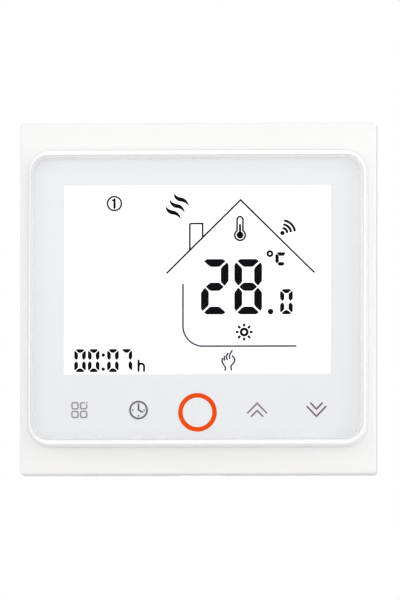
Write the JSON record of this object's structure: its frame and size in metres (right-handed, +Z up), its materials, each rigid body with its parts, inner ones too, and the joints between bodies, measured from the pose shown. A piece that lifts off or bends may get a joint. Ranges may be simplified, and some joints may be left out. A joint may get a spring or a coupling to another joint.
{
  "type": "wall thermostat",
  "caption": "Flush-mounted wall thermostat: square white frame, raised touch display with a power ring key, pull-off display unit, and a sunk power box with screw terminals.",
  "frame": {"origin": "middle of the two wall screw slots, on the wall's surface", "axes": "+X to the user's right, +Z up, +Y into the wall, so the display faces -Y"},
  "size_m": [0.086, 0.042, 0.0849],
  "materials": {
    "frame_white": "satin moulded white plastic",
    "housing_white": "satin moulded white plastic",
    "lens_clear": "clear polished front lens",
    "mask_grey": "light grey print behind the lens",
    "tape_black": "black adhesive tape",
    "display_glass": "thin display glass",
    "polariser_film": "pale display film",
    "diffuser_film": "frosted film",
    "guide_acrylic": "clear moulded acrylic",
    "backlight_white": "white moulding",
    "led_body": "lamp with yellow phosphor",
    "tinned_steel": "bright tinned metal",
    "board_green": "green solder mask with traces",
    "board_blue": "dark blue solder mask",
    "spring_steel": "plated spring wire",
    "chip_black": "black moulded chip",
    "chip_ceramic": "ceramic with tinned ends",
    "shield_steel": "stamped shield can",
    "sensor_epoxy": "black epoxy bead",
    "socket_black": "black moulded connector",
    "cover_white": "white moulded plastic, fine grain",
    "screw_steel": "plated screw steel",
    "plate_steel": "zinc plated pressed steel",
    "box_white": "off-white flame resistant moulding",
    "lid_white": "off-white moulding",
    "board_tan": "tan laminate board",
    "pin_gold": "gold plated pins",
    "terminal_green": "green moulded terminal block",
    "terminal_brass": "tinned brass",
    "clamp_steel": "plated steel clamp",
    "relay_black": "black relay base",
    "relay_case_black": "black relay cover",
    "yoke_steel": "soft iron, plated",
    "bobbin_plastic": "cream moulding",
    "coil_copper": "enamelled copper wire",
    "armature_iron": "soft iron",
    "contact_copper": "copper alloy leaf with silver contact",
    "ferrite": "sintered ferrite",
    "winding_tape": "yellow tape over the winding",
    "capacitor_sleeve": "shrunk sleeve over aluminium",
    "varistor_blue": "dipped epoxy coating",
    "film_cap_yellow": "moulded capacitor case",
    "resistor_green": "lacquered resistor body"
  },
  "bodies": {
    "power_base": {"mounting_plate": "plate_steel", "power_box": "box_white", "insulating_lid": "lid_white", "box_screws": "screw_steel", "power_board": "board_tan", "header_base": "socket_black", "header_pins": "pin_gold", "terminal_block": "terminal_green", "terminal_contacts": "terminal_brass", "relay_base": "relay_black", "relay_cover": "relay_case_black", "relay_yoke": "yoke_steel", "relay_bobbin": "bobbin_plastic", "relay_coil": "coil_copper", "relay_fixed_contact": "contact_copper", "transformer_core": "ferrite", "transformer_winding": "winding_tape", "capacitors": "capacitor_sleeve", "varistor": "varistor_blue", "suppression_capacitor": "film_cap_yellow", "fuse_resistor": "resistor_green", "power_chips": "chip_black"},
    "display_unit": {"outer_frame": "frame_white", "display_housing": "housing_white", "front_lens": "lens_clear", "printed_mask": "mask_grey", "lens_adhesive": "tape_black", "lcd_front_glass": "display_glass", "lcd_rear_glass": "display_glass", "polarisers": "polariser_film", "diffuser_sheet": "diffuser_film", "light_guide": "guide_acrylic", "reflector_sheet": "diffuser_film", "backlight_frame": "backlight_white", "backlight_leds": "led_body", "lcd_pins": "tinned_steel", "display_board": "board_green", "touch_springs": "spring_steel", "control_chips": "chip_black", "wifi_board": "board_blue", "wifi_shield": "shield_steel", "small_components": "chip_ceramic", "temperature_sensor": "sensor_epoxy", "board_socket": "socket_black", "rear_cover": "cover_white", "cover_screws": "screw_steel"},
    "relay_armature": {"relay_armature": "armature_iron", "relay_contact_leaf": "contact_copper"},
    "terminal_screw_1": {"terminal_screw_1": "screw_steel"},
    "wire_clamp_1": {"wire_clamp_1": "clamp_steel"},
    "terminal_screw_2": {"terminal_screw_2": "screw_steel"},
    "wire_clamp_2": {"wire_clamp_2": "clamp_steel"},
    "terminal_screw_3": {"terminal_screw_3": "screw_steel"},
    "wire_clamp_3": {"wire_clamp_3": "clamp_steel"},
    "terminal_screw_4": {"terminal_screw_4": "screw_steel"},
    "wire_clamp_4": {"wire_clamp_4": "clamp_steel"},
    "terminal_screw_5": {"terminal_screw_5": "screw_steel"},
    "wire_clamp_5": {"wire_clamp_5": "clamp_steel"},
    "terminal_screw_6": {"terminal_screw_6": "screw_steel"},
    "wire_clamp_6": {"wire_clamp_6": "clamp_steel"}
  },
  "joints": [
    {"name": "display_unit_pull", "type": "slide", "parent": "power_base", "child": "display_unit", "axis": [0, -1, 0], "range_m": [0, 0.03]},
    {"name": "relay_armature_pull", "type": "hinge", "parent": "power_base", "child": "relay_armature", "pos_m": [-0.0188, 0.0172, 0.00925], "axis": [0, 0, -1], "range_deg": [0, 3], "stiffness_Nm_per_rad": 0.02, "springref_deg": -5.73},
    {"name": "terminal_screw_1_turn", "type": "hinge", "parent": "power_base", "child": "terminal_screw_1", "pos_m": [-0.0127, 0.015, -0.0213], "axis": [0, -1, 0], "range_deg": [0, 1440]},
    {"name": "wire_clamp_1_rise", "type": "slide", "parent": "power_base", "child": "wire_clamp_1", "axis": [0, 1, 0], "range_m": [0, 0.002]},
    {"name": "terminal_screw_2_turn", "type": "hinge", "parent": "power_base", "child": "terminal_screw_2", "pos_m": [-0.00762, 0.015, -0.0213], "axis": [0, -1, 0], "range_deg": [0, 1440]},
    {"name": "wire_clamp_2_rise", "type": "slide", "parent": "power_base", "child": "wire_clamp_2", "axis": [0, 1, 0], "range_m": [0, 0.002]},
    {"name": "terminal_screw_3_turn", "type": "hinge", "parent": "power_base", "child": "terminal_screw_3", "pos_m": [-0.00254, 0.015, -0.0213], "axis": [0, -1, 0], "range_deg": [0, 1440]},
    {"name": "wire_clamp_3_rise", "type": "slide", "parent": "power_base", "child": "wire_clamp_3", "axis": [0, 1, 0], "range_m": [0, 0.002]},
    {"name": "terminal_screw_4_turn", "type": "hinge", "parent": "power_base", "child": "terminal_screw_4", "pos_m": [0.00254, 0.015, -0.0213], "axis": [0, -1, 0], "range_deg": [0, 1440]},
    {"name": "wire_clamp_4_rise", "type": "slide", "parent": "power_base", "child": "wire_clamp_4", "axis": [0, 1, 0], "range_m": [0, 0.002]},
    {"name": "terminal_screw_5_turn", "type": "hinge", "parent": "power_base", "child": "terminal_screw_5", "pos_m": [0.00762, 0.015, -0.0213], "axis": [0, -1, 0], "range_deg": [0, 1440]},
    {"name": "wire_clamp_5_rise", "type": "slide", "parent": "power_base", "child": "wire_clamp_5", "axis": [0, 1, 0], "range_m": [0, 0.002]},
    {"name": "terminal_screw_6_turn", "type": "hinge", "parent": "power_base", "child": "terminal_screw_6", "pos_m": [0.0127, 0.015, -0.0213], "axis": [0, -1, 0], "range_deg": [0, 1440]},
    {"name": "wire_clamp_6_rise", "type": "slide", "parent": "power_base", "child": "wire_clamp_6", "axis": [0, 1, 0], "range_m": [0, 0.002]}
  ],
  "couplings": [
    {"joint": "terminal_screw_1_turn", "follows": "wire_clamp_1_rise", "rad_per_m": 12566},
    {"joint": "terminal_screw_2_turn", "follows": "wire_clamp_2_rise", "rad_per_m": 12566},
    {"joint": "terminal_screw_3_turn", "follows": "wire_clamp_3_rise", "rad_per_m": 12566},
    {"joint": "terminal_screw_4_turn", "follows": "wire_clamp_4_rise", "rad_per_m": 12566},
    {"joint": "terminal_screw_5_turn", "follows": "wire_clamp_5_rise", "rad_per_m": 12566},
    {"joint": "terminal_screw_6_turn", "follows": "wire_clamp_6_rise", "rad_per_m": 12566}
  ]
}
